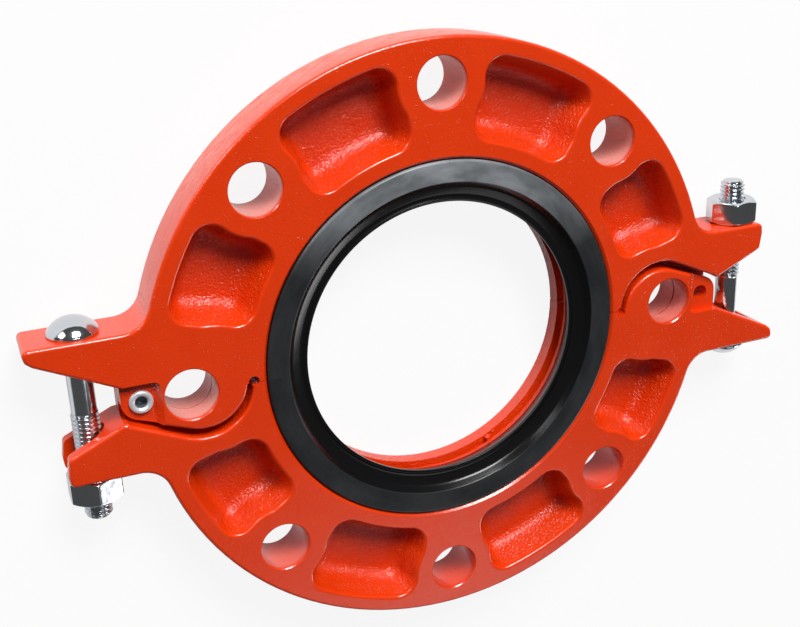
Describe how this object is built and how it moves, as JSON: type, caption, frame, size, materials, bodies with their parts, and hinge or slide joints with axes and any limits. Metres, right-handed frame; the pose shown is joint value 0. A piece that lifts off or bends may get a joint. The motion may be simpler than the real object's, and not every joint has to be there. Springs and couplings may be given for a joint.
{
  "type": "flange adaptor",
  "caption": "Hinged split flange adaptor for grooved pipe: two half castings, rubber face gasket, hinge rivet, closure bolts and hex nuts.",
  "frame": {"origin": "centre of the bore, on the back face that the ring lies on", "axes": "+Z along the bore towards the gasket face, +X from the hinge to the open end, +Y towards the half that opens"},
  "size_m": [0.2946, 0.222, 0.0253],
  "materials": {
    "painted_casting": "glossy orange-red paint over a cast surface",
    "black_rubber": "satin",
    "plated_steel": "bright zinc plate",
    "zinc_steel": "bright zinc plate"
  },
  "bodies": {
    "lower_half": {"lower_housing": "painted_casting", "gasket": "black_rubber", "hinge_rivet": "plated_steel"},
    "upper_half": {"upper_housing": "painted_casting"},
    "left_closure_bolt": {"left_bolt": "zinc_steel"},
    "left_closure_nut": {"left_nut": "zinc_steel"},
    "right_closure_bolt": {"right_bolt": "zinc_steel"},
    "right_closure_nut": {"right_nut": "zinc_steel"}
  },
  "joints": [
    {"name": "flange_hinge", "type": "hinge", "parent": "lower_half", "child": "upper_half", "pos_m": [-0.112, 0, 0.015], "axis": [0, 0, 1], "range_deg": [0, 45]},
    {"name": "left_bolt_swing", "type": "hinge", "parent": "upper_half", "child": "left_closure_bolt", "pos_m": [-0.1213, 0.02565, 0.015], "axis": [0, 0, 1], "range_deg": [-22.5, 0]},
    {"name": "left_nut_travel", "type": "slide", "parent": "left_closure_bolt", "child": "left_closure_nut", "axis": [0, -1, 0], "range_m": [0, 0.0075]},
    {"name": "right_bolt_swing", "type": "hinge", "parent": "lower_half", "child": "right_closure_bolt", "pos_m": [0.1213, -0.02565, 0.015], "axis": [0, 0, 1], "range_deg": [-22.5, 0]},
    {"name": "right_nut_travel", "type": "slide", "parent": "right_closure_bolt", "child": "right_closure_nut", "axis": [0, 1, 0], "range_m": [0, 0.216]}
  ],
  "couplings": [
    {"joint": "left_bolt_swing", "follows": "flange_hinge", "ratio": -0.5},
    {"joint": "right_bolt_swing", "follows": "flange_hinge", "ratio": -0.5},
    {"joint": "right_nut_travel", "follows": "flange_hinge", "m_per_rad": 0.275}
  ]
}
